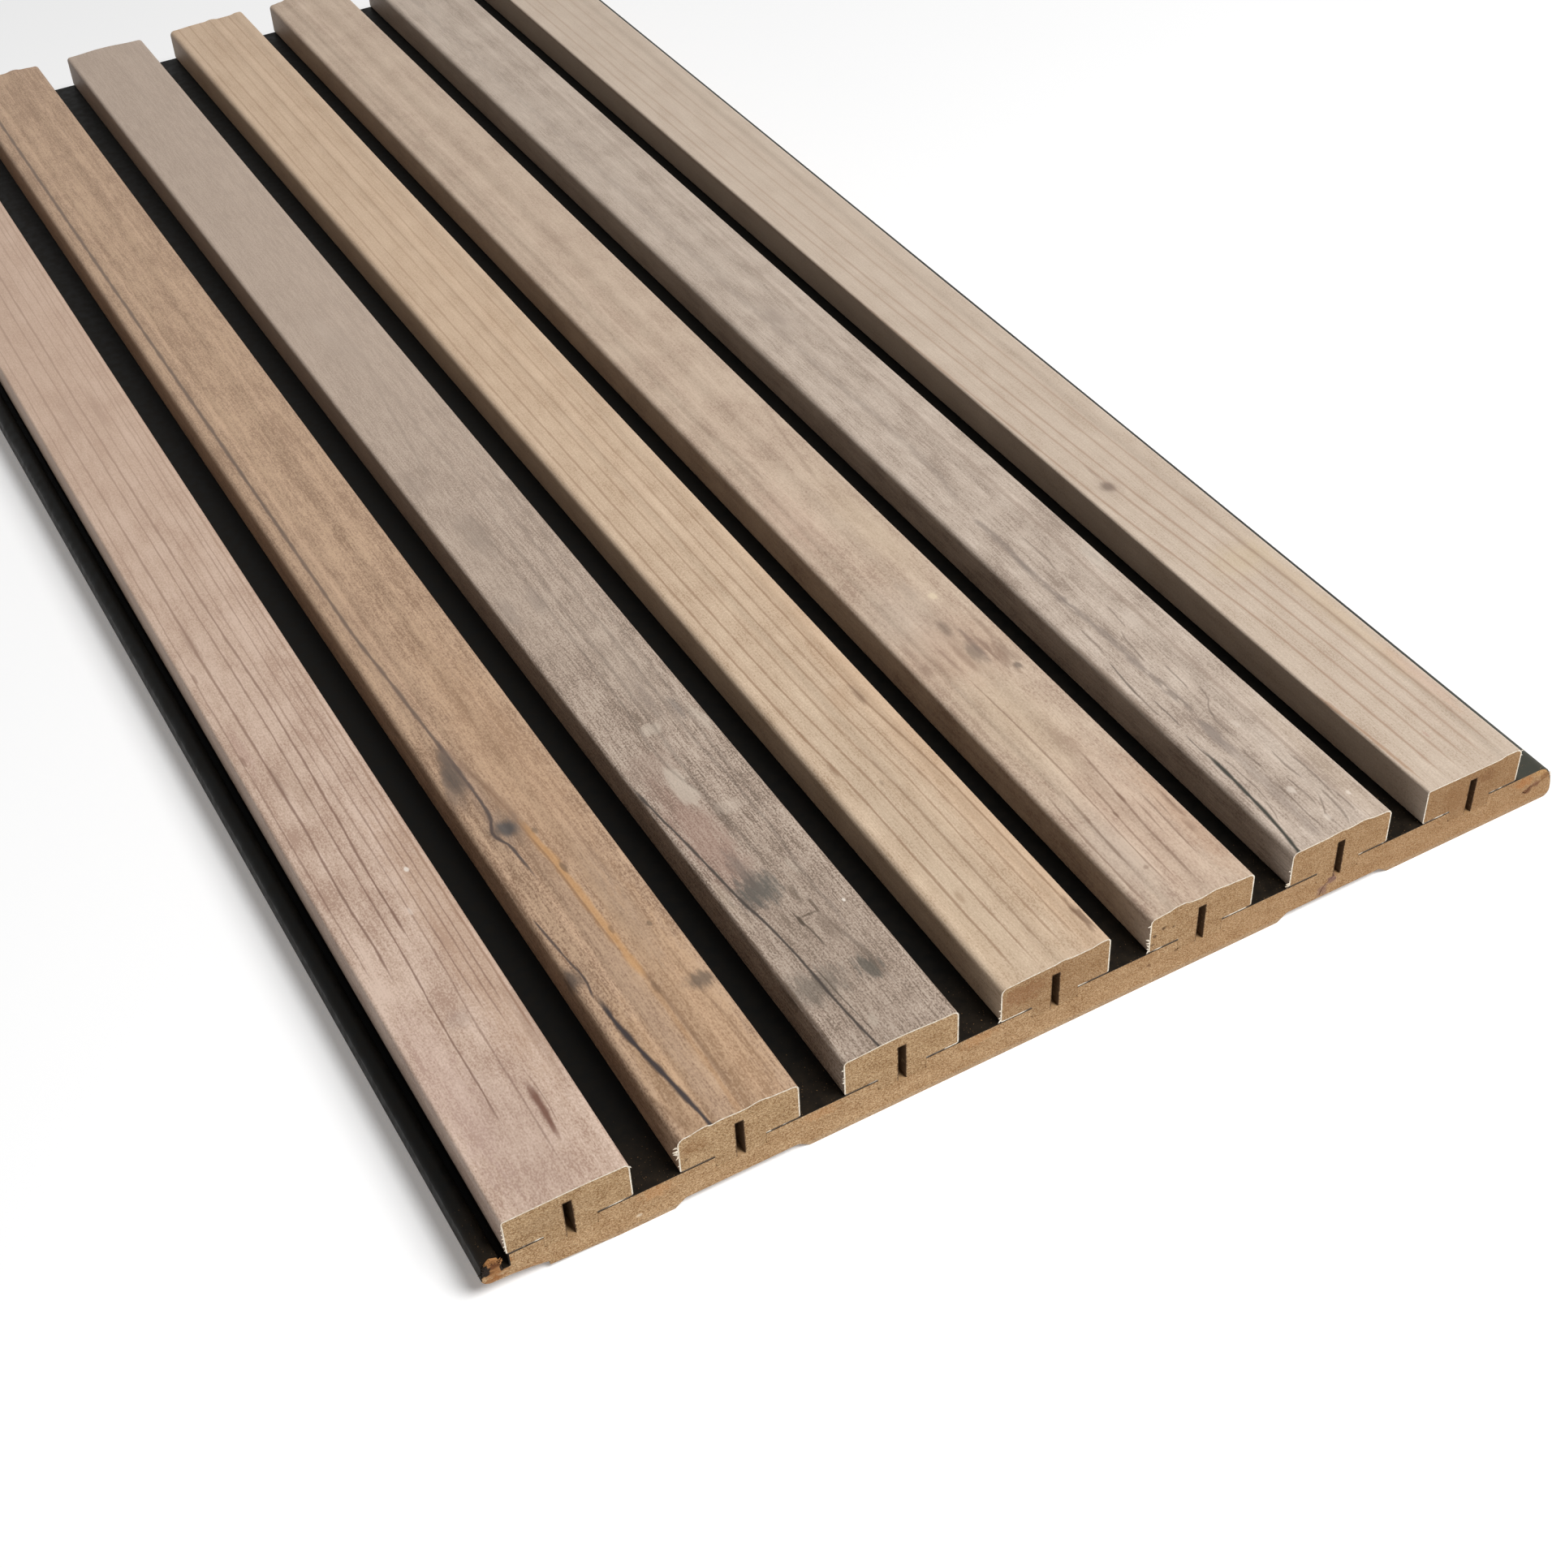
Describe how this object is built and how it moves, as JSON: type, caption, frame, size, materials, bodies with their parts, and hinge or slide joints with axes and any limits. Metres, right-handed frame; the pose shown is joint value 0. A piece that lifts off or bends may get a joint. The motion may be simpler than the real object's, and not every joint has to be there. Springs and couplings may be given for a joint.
{
  "type": "wall panel",
  "caption": "Slat wall panel: weathered wood-effect slats of T section, glued into the grooves of a black-faced fibreboard backboard with a ribbed left edge and a rounded right edge.",
  "frame": {"origin": "middle of the panel's bounding box, on the plane of its back", "axes": "+X across the slats, from the ribbed left edge to the rounded right edge; +Y along the slats, away from the sawn end that the picture shows; +Z out of the panel's front"},
  "size_m": [0.3028, 0.6, 0.0235],
  "materials": {
    "board_mdf": "matte",
    "black_film": "matte",
    "slat_mdf": "matte",
    "film_pink_beige": "matte",
    "film_warm_brown": "matte",
    "film_grey_brown": "matte",
    "film_light_tan": "matte",
    "film_rose_beige": "matte",
    "film_grey_beige": "matte",
    "film_pale_beige": "matte"
  },
  "bodies": {
    "root": {"backboard": "board_mdf", "face_film": "black_film", "slat_1_core": "slat_mdf", "slat_1_wrap": "film_pink_beige", "slat_2_core": "slat_mdf", "slat_2_wrap": "film_warm_brown", "slat_3_core": "slat_mdf", "slat_3_wrap": "film_grey_brown", "slat_4_core": "slat_mdf", "slat_4_wrap": "film_light_tan", "slat_5_core": "slat_mdf", "slat_5_wrap": "film_rose_beige", "slat_6_core": "slat_mdf", "slat_6_wrap": "film_grey_beige", "slat_7_core": "slat_mdf", "slat_7_wrap": "film_pale_beige"}
  },
  "joints": []
}
